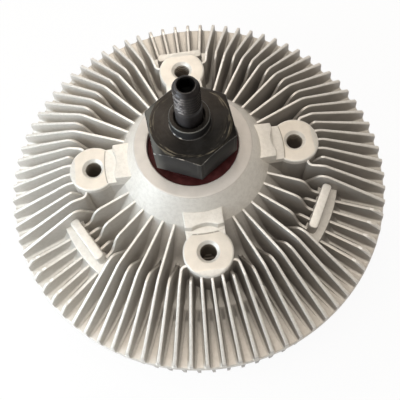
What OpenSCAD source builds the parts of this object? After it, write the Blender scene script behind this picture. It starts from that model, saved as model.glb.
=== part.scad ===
// Viscous fan clutch, standing on its front fins with the drive shaft pointing up.
// The shaft axis is the z axis, and the front fin faces lie at z = 0.

/* [Housing] */
// Radius of the finned rim
rim_r = 85; // [84:0.5:88]
// Height of the rim floor above the front fin faces
rim_z = 38; // [37.5:0.5:42]
// Thickness of the rim flange
rim_t = 6; // [5.5:0.5:7]
// Rise of the floor inside the rim flange
floor_step = 3.9; // [3.5:0.1:4.5]
// Wall between the working chamber and the floor
back_wall = 4.5; // [4:0.1:5]
// Depth of the rolled edge that holds the front cover
rolled_edge = 1.6; // [1.2:0.1:2]

/* [Hub] */
// Rise of the turned hub face above the fan bosses
hub_rise = 10.1; // [9.5:0.1:12]
// Radius of the turned hub face
hub_face_r = 24; // [23.5:0.1:26]
// Radius of the opening in the hub face
hub_lip_r = 18.7; // [18.6:0.1:19]
// Thickness of the lip that stops the bearing
hub_lip_t = 2.2; // [2:0.1:3]
// Slope of the hub cone
hub_slope = 59.5; // [58:0.5:61]

/* [Fan bosses] */
// Number of fan bosses
boss_count = 4; // [4]
// Pitch circle of the fan bolts
boss_pcd = 86; // [85:0.5:87]
// Height of the boss faces above the rim floor
boss_rise = 24.4; // [24:0.2:26]
// Radius of a boss at its face
boss_r = 10.15; // [9.5:0.05:10.5]
// Draft of the boss walls in degrees
boss_draft = 1.5; // [1:0.25:2]
// Radius of the tapped hole
boss_hole_r = 3.4; // [3:0.1:3.6]
// Depth of the tapped hole
boss_hole_depth = 17; // [14:0.5:18]
// Chamfer of the tapped hole
boss_chamfer = 1.2; // [0.8:0.1:1.4]
// Width of the turned ring on the boss faces
boss_ring_w = 15.2; // [14.6:0.1:15.6]
// Radius of the clearance for the washer of a fan bolt
washer_r = 10.4; // [9:0.1:10.6]
// Width of the web between hub and boss
web_w = 15.7; // [15:0.1:16.5]
// Rise of the web above the boss face
web_rise = 4; // [3:0.1:5]

/* [Rear fins] */
// Number of long fins, each followed by a short one
fin_pairs = 40; // [40]
// Thickness of a fin at its crest
fin_t = 1.15; // [1:0.05:1.6]
// Draft of the fin sides in degrees
fin_draft = 0.5; // [0.25:0.25:1.5]
// Drop of the fin crests below the boss faces
fin_drop = 2; // [1.5:0.1:2.5]
// Radius where the crest bends down towards the rim
fin_bend_r = 55; // [54:0.5:56]
// Height of a fin at the rim
fin_tip_h = 5.4; // [5:0.1:6.5]
// Slope of the inner end of a short fin
fin_ramp = 61; // [58:0.5:63]

/* [Balance pads] */
// Number of pads
pad_count = 3; // [3]
// Radius of the bar's middle line
pad_r = 56.4; // [56:0.1:57]
// Width of the bar
pad_w = 4; // [3.5:0.1:4.5]
// Length of the bar
pad_l = 21; // [19:0.5:22]
// Drop of the bar below the boss faces
pad_drop = 6.6; // [6:0.1:7.5]
// Height of the bar above its ledge
pad_h = 7; // [6:0.1:7.5]
// Radius of the ledge's outer edge
ledge_r = 62.3; // [61.5:0.1:63]

/* [Bearing] */
// Bore of the bearing
bearing_bore = 17; // [17]
// Outside diameter of the bearing
bearing_od = 40; // [40]
// Width of the bearing
bearing_w = 12; // [12]
// Diameter of a ball
ball_d = 6.747; // [6.747]
// Number of balls
ball_count = 8; // [8]
// Thickness of the retaining ring
ring_t = 1.6; // [1.2:0.1:1.8]

/* [Input shaft] */
// Width of the hexagon across its flats
hex_af = 32; // [31:0.5:33]
// Height of the hexagon
hex_h = 13.5; // [11:0.1:14]
// Gap between the hub face and the hexagon
hex_gap = 3.6; // [3:0.1:5]
// Angle of a hexagon corner in degrees
hex_turn = 35; // [0:1:59]
// Radius of the collar
collar_r = 7.75; // [7.5:0.05:8.5]
// Height of the collar
collar_h = 4.8; // [4.5:0.1:6.5]
// Radius of the recess in the collar
recess_r = 5.8; // [5.6:0.05:6.2]
// Depth of the recess in the collar
recess_depth = 3.5; // [2.5:0.1:4]

/* [Drive stud] */
// Radius of the stud's threaded end
stud_r = 4.9; // [4.5:0.05:5]
// Radius of the stud's plain shank
shank_r = 5.1; // [5:0.05:5.3]
// Length of the stud above the collar
stud_out = 19.2; // [18:0.2:24]
// Length of the threaded end
thread_l = 11.2; // [10:0.2:14]
// Length of the stud screwed into the shaft
stud_in = 18; // [14:0.5:20]
// Socket in the stud's tip across its flats
socket_af = 5; // [4:0.5:5.5]
// Depth of the socket
socket_depth = 5; // [4:0.5:6]

/* [Rotor] */
// Radius of the rotor
rotor_r = 60.2; // [59.5:0.1:60.4]
// Thickness of the rotor's web
rotor_t = 3; // [2.6:0.1:3.4]
// Number of ring lands
land_count = 4; // [3:1:4]
// Thickness of a land
land_t = 2.4; // [2:0.1:2.6]
// Gap between the lands of rotor and housing
land_gap = 0.5; // [0.4:0.05:0.7]
// Radius of the rotor's hub
rotor_hub_r = 12.5; // [11.5:0.1:13]

/* [Front cover] */
// Height of the centre plate above the front fin faces
plate_z = 13; // [12.6:0.1:13.6]
// Wall of the centre plate
cover_wall = 4.5; // [4:0.1:5]
// Depth of the rotor recess in the cover
cover_recess = 5; // [4.6:0.1:5.4]
// Radius of the reservoir
reservoir_r = 44; // [42:0.5:45]
// Thickness of the pump plate
pump_t = 1.5; // [1.2:0.1:1.8]
// Radius of the pump plate
pump_r = 53; // [52:0.5:54]
// Radius where the front fins begin
front_in_r = 31; // [29.5:0.5:32]
// Setback of the front fins from the rim
front_setback = 0.8; // [0:0.2:1.4]
// Turn of the front fins against the rear fins in degrees
front_turn = 1.3; // [0:0.1:4.4]

/* [Valve] */
// Radius of the valve shaft
valve_r = 3; // [2.6:0.1:3.2]
// Length of the valve arm
arm_l = 31; // [29:0.5:33]
// Width of the valve arm
arm_w = 9; // [8:0.5:10]
// Thickness of the valve arm
arm_t = 1.2; // [1:0.1:1.4]
// Radius of the port that the arm covers
port_r = 2.6; // [2:0.1:3]

/* [Bimetal coil] */
// Thickness of the strip
coil_t = 1; // [0.8:0.1:1.2]
// Width of the strip
coil_w = 6; // [5:0.5:6]
// Number of turns
coil_turns = 5; // [4:1:5]
// Pitch of the turns
coil_pitch = 3.4; // [3:0.1:3.6]

/* [Hidden] */
$fn = 96;

// Overlap of two unions, and the small step that carries a cut past a face
eps = 0.5;
cut = 1;

// Running clearances
slide_gap = 0.3;
fit_gap = 0.05;
race_gap = 0.15;

// Heights along the shaft
joint_z = rim_z - rim_t;
chamber_front_z = joint_z - cover_recess;
floor_z = rim_z + floor_step;
chamber_back_z = floor_z - back_wall;
boss_z = rim_z + boss_rise;
hub_z = boss_z + hub_rise;
bearing_top_z = hub_z - hub_lip_t;
bearing_z = bearing_top_z - bearing_w;
bearing_mid_z = bearing_z + bearing_w / 2;
hex_z = hub_z + hex_gap;
hex_top_z = hex_z + hex_h;
collar_z = hex_top_z + collar_h;
stud_top_z = collar_z + stud_out;
stud_chamfer = 1.2;
thread_z = stud_top_z - thread_l;

// Radii of the housing
chamber_r = rotor_r + 1.3;
step_r = chamber_r + back_wall;
cone_foot_r = hub_face_r + (hub_z - floor_z) / tan(hub_slope);
cone_rise = 1.4;
cone_round = 9;
skirt_in_r = rim_r - 4;
skirt_out_r = rim_r - 2;
flange_t = cover_recess;
flange_z = joint_z - flange_t;
seal_r = chamber_r + 3.6;
seal_w = 2.6;
seal_h = 2;

// Rear fins
fin_count = 2 * fin_pairs;
fin_step = 360 / fin_count;
crest_z = boss_z - fin_drop;
fin_tip_r = rim_r - 0.8;
fin_tip_z = rim_z + fin_tip_h;
fin_low_z = rim_z - eps;
fin_in_r = hub_face_r + (hub_z - crest_z) / tan(hub_slope) - 1.5;
crest_round = 9;
boss_hold = 15;
hook_hold = 12;
hook_r = boss_pcd / 2 + 5.6;
hook_l = 3.6;

// Turned face and stepped web of a boss
face_step = 0.3;
face_fall = 2.6;
face_fall_l = 8;
web_lip = 0.7;
web_lean = 0.4;

// Pads
pad_z = boss_z - pad_drop;
ledge_z = pad_z - pad_h;
pad_window = 11.3;
pad_wall_r = pad_r - pad_w / 2 - 0.3;
stub_z = pad_z - 3.8;
stub_in = 5.2;
stub_round = 2;
swan_high_in = 7.6;
swan_high_round = 5;
swan_low_in = 3.4;
swan_low_round = 3.4;
swan_fall = 0.6;
low_fin_z = ledge_z - 2.2;

// Rotor lands
rotor_z = chamber_front_z + 1.2;
rotor_hole_in = 10;
rotor_hole_r = 3;
web_top_z = rotor_z + rotor_t;
land_pitch = 2 * (land_t + land_gap);
land_top_z = chamber_back_z - 0.7;

// Bearing
bearing_r = bearing_od / 2;
web_in_r = bearing_r + 2;
groove_depth = 1;
retainer_w = 3 - slide_gap;
journal_r = bearing_bore / 2;
ball_r = ball_d / 2;
ball_pcr = (bearing_r + journal_r) / 2;
race_r = ball_r + race_gap;
inner_land_r = ball_pcr - 0.6 * ball_r;
outer_land_r = ball_pcr + 0.6 * ball_r;
shield_lap = 0.1;
shield_r = hub_lip_r + shield_lap;
shield_t = 1;
shield_depth = 0.5;

// Lock ring of the rotor
shaft_end_r = journal_r - 0.5;
lock_r = shaft_end_r - 1.2;
lock_w = 3.4;
lock_t = 1;
lock_depth = 2;
lock_z = rotor_z + lock_depth - lock_t;

// Front cover and valve
reservoir_z = plate_z + cover_wall;
front_out_r = rim_r - front_setback;
front_slope_l = 12;
front_slope_h = 9;
front_round = 6;
pump_z = chamber_front_z - pump_t;
valve_tip_z = 4.6;
arm_z = pump_z - slide_gap - arm_t;
port_at = arm_l - 5;
valve_boss_r = 8;
valve_boss_z = 10.8;
valve_seal_z = 13.4;
valve_seal_w = 2;
valve_seal_r = 4.6;
coil_in_r = valve_r + coil_t / 2;
screw_r = 1.5;
screw_head_r = 2.7;
screw_pcr = (reservoir_r + pump_r) / 2;
screw_l = 7;
wiper_at = screw_pcr + 1;
wiper_l = 10;
wiper_w = 5;
wiper_t = 0.8;
wiper_peg_r = 1.2;
clip_r = coil_in_r + (coil_turns + 0.5) * coil_pitch;
clip_slot = coil_t + 1.4;
clip_post_r = coil_pitch - coil_t / 2 - slide_gap - fit_gap;
clip_peg_r = 1.5;
clip_peg_l = 3;

// Arc that rounds the corner b between a and c
function corner(a, b, c, r, n) =
    r <= 0 ? [b] :
    let (u = (a - b) / norm(a - b))
    let (v = (c - b) / norm(c - b))
    let (half = acos(u * v) / 2)
    let (mid = b + (u + v) / norm(u + v) * r / sin(half))
    let (p = b + u * r / tan(half) - mid)
    let (q = b + v * r / tan(half) - mid)
    let (start = atan2(p.y, p.x))
    let (sweep = atan2(p.x * q.y - p.y * q.x, p * q))
    [for (i = [0 : n]) mid + r * [cos(start + sweep * i / n), sin(start + sweep * i / n)]];

// Closed outline through points [x, y, radius]
function smooth(path, n = 3) =
    let (m = len(path))
    let (at = function (i) [path[(i + m) % m].x, path[(i + m) % m].y])
    [for (i = [0 : m - 1]) each corner(at(i - 1), at(i), at(i + 1), path[i].z, n)];

// Smallest angle between a direction and the nearest of n equal ones
function off_axis(angle, n, first) =
    let (pitch = 360 / n)
    let (turn = (angle - first) - pitch * floor((angle - first) / pitch))
    min(turn, pitch - turn);

// Ring with a rectangular section
module ring(r_in, r_out, z0, z1) {
    rotate_extrude()
        translate([r_in, z0])
            square([r_out - r_in, z1 - z0]);
}

// Upright fin along x with drafted sides, cut to a side outline
module fin(outline, low, high, t, draft) {
    wide = t / 2 + (high - low) * tan(draft);
    intersection() {
        rotate([90, 0, 0])
            linear_extrude(4 * wide, center = true)
                polygon(outline);
        rotate([90, 0, 90])
            linear_extrude(rim_r)
                polygon([[-wide, low], [wide, low], [t / 2, high], [-t / 2, high]]);
    }
}

// Side outlines of the rear fins
rim_end = [[fin_tip_r, fin_tip_z, 1], [rim_r - 0.2, rim_z + 1, 0], [rim_r - 0.2, fin_low_z, 0]];
long_outline = smooth(concat(
    [[fin_in_r, fin_low_z, 0], [fin_in_r, crest_z, 0], [fin_bend_r, crest_z, crest_round]], rim_end));
ramp_low_r = fin_bend_r - (crest_z - floor_z) / tan(fin_ramp) - 1;
short_outline = smooth(concat(
    [[ramp_low_r, fin_low_z, 0], [ramp_low_r, floor_z, 0], [fin_bend_r - 1, crest_z + 0.5, 3]], rim_end));
function from(r) = smooth(concat(
    [[r, fin_low_z, 0], [r, crest_z, 0], [fin_bend_r, crest_z, crest_round]], rim_end));
boss_outline = from(boss_pcd / 2);
hook_outline = from(hook_r);
low_rim = [[fin_tip_r - 3, low_fin_z, 4], [fin_tip_r, fin_tip_z - 0.6, 0.6], [rim_r - 0.2, rim_z + 1, 0],
           [rim_r - 0.2, fin_low_z, 0]];
under_bar = [[pad_r - 1, stub_z - 0.4, 0], [pad_r + 1, low_fin_z, 0]];
swan_outline = smooth(concat([[fin_in_r, fin_low_z, 0], [fin_in_r, crest_z, 0],
    [fin_bend_r - swan_high_in, crest_z - swan_fall, swan_high_round],
    [fin_bend_r - swan_low_in, stub_z, swan_low_round]], under_bar, low_rim));
stub_low_r = fin_bend_r - stub_in - (stub_z - floor_z) / tan(fin_ramp);
stub_outline = smooth(concat([[stub_low_r, fin_low_z, 0], [stub_low_r, floor_z, 0],
    [fin_bend_r - stub_in, stub_z, stub_round]], under_bar, low_rim));
low_outline = smooth(concat([[pad_r + 1, fin_low_z, 0], [pad_r + 1, low_fin_z, 0]], low_rim));

// Inner end of a fin that turns towards the boss on one of its sides
module hook(side) {
    translate([hook_r, side * hook_l / 2, (fin_low_z + crest_z) / 2])
        cube([fin_t, hook_l, crest_z - fin_low_z], center = true);
}

// One rear fin of the kind that its place calls for
module rear_fin(i) {
    angle = i * fin_step;
    long = i % 2 == 1;
    at_pad = off_axis(angle, pad_count, 90) < pad_window;
    at_boss = off_axis(angle, boss_count, 0) < boss_hold;
    rotate(angle)
        if (at_pad) {
            pad_outline = !long ? stub_outline : at_boss ? low_outline : swan_outline;
            fin(pad_outline, fin_low_z, crest_z, fin_t, fin_draft);
        } else if (at_boss) {
            hooked = off_axis(angle, boss_count, 0) > hook_hold;
            fin(hooked ? hook_outline : boss_outline, fin_low_z, crest_z, fin_t, fin_draft);
            if (hooked)
                hook(angle % (360 / boss_count) < 180 / boss_count ? -1 : 1);
        } else {
            fin(long ? long_outline : short_outline, fin_low_z, crest_z + eps, fin_t, fin_draft);
        }
}

// Hub, floor and rim of the rear housing as one turned wall
module housing_wall() {
    rotate_extrude()
        polygon(smooth([
            [hub_lip_r, bearing_top_z, 0], [hub_lip_r, hub_z, 0], [hub_face_r, hub_z, 0],
            [cone_foot_r, floor_z + cone_rise, cone_round], [chamber_r, floor_z, 0], [step_r, rim_z, 0],
            [rim_r, rim_z, 0], [rim_r, joint_z + 1, 0], [skirt_out_r, joint_z - 1, 0],
            [skirt_out_r, flange_z - rolled_edge, 0], [skirt_in_r - 2, flange_z - rolled_edge, 0],
            [skirt_in_r - 2, flange_z, 0], [skirt_in_r, flange_z, 0], [skirt_in_r, joint_z, 0],
            [chamber_r, joint_z, 0], [chamber_r, chamber_back_z, 0], [bearing_r, chamber_back_z, 0],
            [bearing_r, bearing_z - ring_t, 0], [bearing_r + groove_depth, bearing_z - ring_t, 0],
            [bearing_r + groove_depth, bearing_z, 0], [bearing_r, bearing_z, 0],
            [bearing_r, bearing_top_z, 0]], 4));
}

// Boss with its web, limited by the turned and cast faces around the shaft axis
module boss_and_web() {
    low = rim_z + 1;
    pcr = boss_pcd / 2;
    face_in_r = pcr - boss_ring_w / 2;
    face_out_r = pcr + boss_ring_w / 2;
    intersection() {
        union() {
            translate([pcr, 0, low])
                cylinder(h = boss_z + eps - low, r1 = boss_r + (boss_z - low) * tan(boss_draft), r2 = boss_r);
            translate([0, 0, low])
                linear_extrude(boss_z + web_rise - low)
                    polygon([[web_in_r, -web_w / 2], [pcr, -web_w / 2 + 0.3],
                             [pcr, web_w / 2 - 0.3], [web_in_r, web_w / 2]]);
        }
        rotate_extrude()
            polygon([[web_in_r - cut, low - cut], [face_out_r + face_fall_l, low - cut],
                     [face_out_r + face_fall_l, boss_z - face_fall], [face_out_r, boss_z],
                     [face_in_r, boss_z], [face_in_r, boss_z + face_step],
                     [face_in_r - web_lip, boss_z + face_step],
                     [face_in_r - web_lip - web_lean, boss_z + web_rise],
                     [web_in_r - cut, boss_z + web_rise]]);
    }
}

// Cuts of one boss: tapped hole, chamfer and the clearance for the fan's washer
module boss_cuts() {
    translate([boss_pcd / 2, 0, boss_z]) {
        translate([0, 0, -boss_hole_depth])
            cylinder(h = boss_hole_depth + web_rise, r = boss_hole_r);
        translate([0, 0, -boss_chamfer])
            cylinder(h = boss_chamfer + face_step, r1 = boss_hole_r,
                     r2 = boss_hole_r + boss_chamfer + face_step);
        translate([0, 0, face_step])
            cylinder(h = web_rise + cut, r = washer_r);
    }
}

// Ledge with a hollow outer slope between two whole fins, carrying a straight bar with round ends
module balance_pad(angle) {
    drop = ledge_z - rim_z;
    foot_r = ledge_r + drop;
    hollow = [for (i = [0 : 6]) [foot_r, ledge_z] - drop * [cos(15 * i), sin(15 * i)]];
    first = floor((angle - pad_window) / fin_step) * fin_step;
    last = ceil((angle + pad_window) / fin_step) * fin_step;
    rotate_extrude(angle = last - first, start = first)
        polygon(concat([[pad_wall_r, rim_z - eps], [pad_wall_r, ledge_z]], hollow, [[foot_r, rim_z - eps]]));
    rotate(angle)
        translate([pad_r, 0, floor_z]) {
            translate([-pad_w / 2, -(pad_l - pad_w) / 2, 0])
                cube([pad_w, pad_l - pad_w, pad_z - floor_z]);
            for (side = [-1, 1])
                translate([0, side * (pad_l - pad_w) / 2, 0])
                    cylinder(h = pad_z - floor_z, r = pad_w / 2);
        }
}

module rear_housing() {
    color("silver")
        difference() {
            union() {
                housing_wall();
                for (i = [1 : land_count])
                    ring(land_r(i) - land_t / 2, land_r(i) + land_t / 2,
                         web_top_z + 0.7, chamber_back_z + eps);
                for (i = [0 : fin_count - 1])
                    rear_fin(i);
                for (i = [0 : boss_count - 1])
                    rotate(i * 360 / boss_count)
                        boss_and_web();
                for (i = [0 : pad_count - 1])
                    balance_pad(90 + i * 360 / pad_count);
            }
            for (i = [0 : boss_count - 1])
                rotate(i * 360 / boss_count)
                    boss_cuts();
        }
}

// Middle radius of the housing's land i, counted from the rim inwards
function land_r(i) = rotor_r - land_t * 1.5 - land_gap - (i - 1) * land_pitch;

// Side outline of a front fin, from the centre plate to the rim
front_top_z = flange_z - rolled_edge - 0.8;
front_outline = smooth([[front_in_r, reservoir_z - 1, 0], [front_in_r, 2.5, 0], [front_in_r + 3.5, 0, 3],
    [front_out_r - front_slope_l, 0, front_round], [front_out_r, front_slope_h, 1],
    [front_out_r, front_top_z, 0], [skirt_in_r - 3, front_top_z, 0], [skirt_in_r - 3, flange_z + eps, 0],
    [chamber_r, flange_z + eps, 0], [pump_r, reservoir_z, 0]]);

module front_cover() {
    color("silver")
        difference() {
            union() {
                rotate_extrude()
                    polygon([[0, valve_boss_z], [valve_boss_r, valve_boss_z], [valve_boss_r, plate_z],
                             [pump_r - 3, plate_z], [chamber_r - 0.5, flange_z - cover_wall],
                             [step_r, flange_z], [skirt_in_r - fit_gap, flange_z],
                             [skirt_in_r - fit_gap, joint_z], [chamber_r, joint_z],
                             [chamber_r, chamber_front_z], [pump_r + fit_gap, chamber_front_z],
                             [pump_r + fit_gap, pump_z], [reservoir_r, pump_z],
                             [reservoir_r, reservoir_z], [0, reservoir_z]]);
                for (i = [0 : fin_count - 1])
                    rotate(i * fin_step + front_turn)
                        rotate([180, 0, 0])
                            fin([for (p = front_outline) [p.x, -p.y]], -flange_z - eps, 0, fin_t, fin_draft);
            }
            ring(seal_r - seal_w / 2, seal_r + seal_w / 2, joint_z - seal_h, joint_z + cut);
            translate([0, 0, -cut])
                cylinder(h = reservoir_z + 2 * cut, r = valve_r + fit_gap);
            ring(valve_r, valve_seal_r, valve_seal_z, valve_seal_z + valve_seal_w);
            for (i = [0 : 3])
                rotate(45 + 90 * i)
                    translate([screw_pcr, 0, pump_z - screw_l])
                        cylinder(h = screw_l + cut, r = screw_r);
            rotate(180)
                translate([clip_r, 0, plate_z - cut])
                    cylinder(h = clip_peg_l + cut, r = clip_peg_r);
        }
}

module cover_seal() {
    color("dimgray")
        ring(seal_r - seal_w / 2, seal_r + seal_w / 2, joint_z - seal_h, joint_z);
}

// Groove that the balls run in
module ball_race() {
    translate([0, 0, bearing_mid_z])
        rotate_extrude()
            translate([ball_pcr, 0])
                circle(r = race_r);
}

module bearing_outer_ring() {
    color("lightsteelblue")
        difference() {
            ring(outer_land_r, bearing_r, bearing_z, bearing_top_z);
            ball_race();
            for (z = [bearing_z, bearing_top_z - shield_t - shield_depth])
                ring(outer_land_r - cut, shield_r, z - (z == bearing_z ? cut : 0),
                     z + shield_t + shield_depth + (z == bearing_z ? 0 : cut));
        }
}

module bearing_inner_ring() {
    color("lightsteelblue")
        difference() {
            ring(journal_r, inner_land_r, bearing_z, bearing_top_z);
            ball_race();
        }
}

module bearing_balls() {
    color("lightsteelblue")
        for (i = [0 : ball_count - 1])
            rotate(i * 360 / ball_count)
                translate([ball_pcr, 0, bearing_mid_z])
                    sphere(r = ball_r);
}

module bearing_cage() {
    half = race_r + 0.7;
    color("goldenrod")
        difference() {
            ring(ball_pcr - 0.9, ball_pcr + 0.9, bearing_mid_z - half, bearing_mid_z + half);
            for (i = [0 : ball_count - 1])
                rotate(i * 360 / ball_count)
                    translate([ball_pcr, 0, bearing_mid_z])
                        sphere(r = race_r + race_gap);
        }
}

module bearing_seal_rear() {
    color("darkred")
        ring(inner_land_r + slide_gap, shield_r, bearing_top_z - shield_t - shield_depth,
             bearing_top_z - shield_depth);
}

module bearing_seal_front() {
    color("darkred")
        ring(inner_land_r + slide_gap, shield_r, bearing_z + shield_depth,
             bearing_z + shield_t + shield_depth);
}

// Spring ring with a gap, snapped into the groove below the bearing
module bearing_retaining_ring() {
    color("dimgray")
        rotate_extrude(angle = 330, start = 105)
            translate([bearing_r + groove_depth - slide_gap - retainer_w, bearing_z - ring_t])
                square([retainer_w, ring_t]);
}

module input_shaft() {
    corner_r = hex_af / 2 / cos(30);
    shoulder_r = journal_r + 2.6;
    chamfer = 1.4;
    color("dimgray")
        difference() {
            union() {
                rotate_extrude()
                    polygon([[0, rotor_z], [shaft_end_r, rotor_z], [shaft_end_r, bearing_z],
                             [journal_r, bearing_z], [journal_r, bearing_top_z], [shoulder_r, bearing_top_z],
                             [shoulder_r, hex_z + eps], [collar_r, hex_z + eps], [collar_r, collar_z - 0.4],
                             [collar_r - 0.4, collar_z], [0, collar_z]]);
                intersection() {
                    translate([0, 0, hex_z])
                        rotate(hex_turn)
                            cylinder(h = hex_h, r = corner_r, $fn = 6);
                    rotate_extrude()
                        polygon([[0, hex_z], [corner_r + cut, hex_z],
                                 [corner_r + cut, hex_top_z - chamfer - cut / 2],
                                 [hex_af / 2 - 0.6, hex_top_z], [0, hex_top_z]]);
                }
            }
            translate([0, 0, collar_z - recess_depth])
                cylinder(h = recess_depth + cut, r = recess_r);
            translate([0, 0, collar_z - recess_depth - stud_in])
                cylinder(h = stud_in + cut, r = shank_r);
            ring(lock_r, journal_r, lock_z, lock_z + lock_t);
        }
}

module drive_stud() {
    low = collar_z - recess_depth - stud_in;
    color("dimgray")
        difference() {
            rotate_extrude()
                polygon([[0, low], [shank_r, low], [shank_r, thread_z - shank_r + stud_r],
                         [stud_r, thread_z], [stud_r, stud_top_z - stud_chamfer],
                         [stud_r - stud_chamfer, stud_top_z], [0, stud_top_z]]);
            translate([0, 0, stud_top_z - socket_depth])
                cylinder(h = socket_depth + cut, r = socket_af / 2 / cos(30), $fn = 6);
        }
}

module rotor() {
    color("gainsboro")
        difference() {
            union() {
                ring(shaft_end_r, rotor_r, rotor_z, web_top_z);
                ring(shaft_end_r, rotor_hub_r, rotor_z, bearing_z);
                for (i = [1 : land_count])
                    ring(land_r(i) + land_pitch / 2 - land_t / 2, land_r(i) + land_pitch / 2 + land_t / 2,
                         web_top_z - eps, land_top_z);
            }
            for (i = [0 : 5])
                rotate(i * 60)
                    translate([rotor_hub_r + rotor_hole_in, 0, rotor_z - cut])
                        cylinder(h = rotor_t + 2 * cut, r = rotor_hole_r);
            ring(lock_r, lock_r + lock_w + slide_gap, rotor_z - cut, lock_z + lock_t);
        }
}

// Lock ring with a gap, snapped into the groove of the shaft against the rotor
module rotor_lock_ring() {
    color("dimgray")
        rotate_extrude(angle = 320, start = 20)
            translate([lock_r, lock_z])
                square([lock_w, lock_t]);
}

module pump_plate() {
    color("lightgray")
        difference() {
            ring(0, pump_r, pump_z, chamber_front_z);
            translate([port_at, 0, pump_z - cut])
                cylinder(h = pump_t + 2 * cut, r = port_r);
            for (side = [0, 180])
                rotate(90 + side) {
                    translate([wiper_at, 0, pump_z - cut])
                        cylinder(h = pump_t + 2 * cut, r = wiper_peg_r);
                    rotate(10)
                        translate([reservoir_r - 3, 0, pump_z - cut])
                            cylinder(h = pump_t + 2 * cut, r = 1);
                }
            for (i = [0 : 3])
                rotate(45 + 90 * i)
                    translate([screw_pcr, 0, pump_z])
                        screw_body(pump_t, screw_r);
        }
}

// Countersunk screw body below a flush head whose top lies h above the origin
module screw_body(h, r) {
    translate([0, 0, -screw_l + cut])
        cylinder(h = h + screw_l - cut, r = r);
    translate([0, 0, h - (screw_head_r - r)])
        cylinder(h = screw_head_r - r, r1 = r, r2 = screw_head_r);
}

module pump_plate_screws() {
    color("slategray")
        for (i = [0 : 3])
            rotate(45 + 90 * i)
                translate([screw_pcr, 0, pump_z])
                    difference() {
                        screw_body(pump_t, screw_r);
                        translate([-screw_head_r, -0.3, pump_t - 0.5])
                            cube([2 * screw_head_r, 0.6, cut]);
                    }
}

// Blocks on the rotor side that turn the fluid back through the plate
module wiper_blocks() {
    color("ivory")
        for (side = [0, 180])
            rotate(90 + side) {
                translate([wiper_at - wiper_w / 2, -wiper_l / 2, chamber_front_z])
                    cube([wiper_w, wiper_l, wiper_t]);
                translate([wiper_at, 0, pump_z])
                    cylinder(h = pump_t + wiper_t / 2, r = wiper_peg_r);
            }
}

module valve_shaft() {
    color("silver")
        difference() {
            rotate_extrude()
                polygon([[0, valve_tip_z], [valve_r, valve_tip_z], [valve_r, reservoir_z + slide_gap],
                         [valve_r + 1.6, reservoir_z + slide_gap], [valve_r + 1.6, arm_z],
                         [valve_r - 1, arm_z], [valve_r - 1, arm_z + arm_t], [0, arm_z + arm_t]]);
            translate([-valve_r - cut, -coil_t / 2, valve_tip_z - cut])
                cube([2 * valve_r + 2 * cut, coil_t, coil_w + cut]);
        }
}

module valve_arm() {
    color("silver")
        translate([0, 0, arm_z])
            difference() {
                union() {
                    cylinder(h = arm_t, r = arm_w / 2 + 1.5);
                    translate([0, -arm_w / 2, 0])
                        cube([arm_l - arm_w / 2, arm_w, arm_t]);
                    translate([arm_l - arm_w / 2, 0, 0])
                        cylinder(h = arm_t, r = arm_w / 2);
                }
                translate([0, 0, -cut])
                    cylinder(h = arm_t + 2 * cut, r = valve_r - 1);
            }
}

module valve_shaft_seal() {
    color("dimgray")
        ring(valve_r + fit_gap, valve_seal_r, valve_seal_z, valve_seal_z + valve_seal_w);
}

// Spiral strip from the slot in the valve shaft out to the clip
module bimetal_coil() {
    steps = 30 * coil_turns;
    turn = 360 * coil_turns + 180;
    path = function (i, side) let (a = turn * i / steps)
        (coil_in_r + coil_pitch * a / 360 + side * coil_t / 2) * [cos(a), sin(a)];
    color("darkgoldenrod")
        translate([0, 0, valve_tip_z])
            linear_extrude(coil_w)
                polygon(concat([[-valve_r, -coil_t / 2], [coil_in_r, -coil_t / 2]],
                    [for (i = [1 : steps]) path(i, 1)],
                    [for (i = [steps : -1 : 1]) path(i, -1)],
                    [[valve_r + 0.2, coil_t / 2], [-valve_r, coil_t / 2]]));
}

// Slotted post pressed into the cover, which holds the coil's outer end
module coil_clip() {
    color("lightgray")
        rotate(180)
            translate([clip_r, 0, 0])
                difference() {
                    union() {
                        translate([0, 0, valve_tip_z])
                            cylinder(h = plate_z - valve_tip_z, r = clip_post_r);
                        translate([0, 0, plate_z - eps])
                            cylinder(h = clip_peg_l + eps, r = clip_peg_r);
                    }
                    translate([-clip_slot / 2, -clip_post_r - cut, valve_tip_z - cut])
                        cube([clip_slot, 2 * clip_post_r + 2 * cut, coil_w + cut]);
                }
}

rear_housing();
front_cover();
cover_seal();
bearing_outer_ring();
bearing_inner_ring();
bearing_balls();
bearing_cage();
bearing_seal_rear();
bearing_seal_front();
bearing_retaining_ring();
input_shaft();
drive_stud();
rotor();
rotor_lock_ring();
pump_plate();
pump_plate_screws();
wiper_blocks();
valve_shaft();
valve_arm();
valve_shaft_seal();
bimetal_coil();
coil_clip();
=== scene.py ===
"""Looks of a viscous fan clutch.

Two castings with rounded fins, a black-oxide shaft with a hexagon, a threaded stud and the bearing's seals are
modelled anew. The parts inside keep their solids and get their finishes.
"""

from math import acos, asin, atan2, ceil, cos, floor, hypot, pi, radians, sin, sqrt, tan, tau

import bmesh
import bpy
from mathutils import Matrix, Vector


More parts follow.
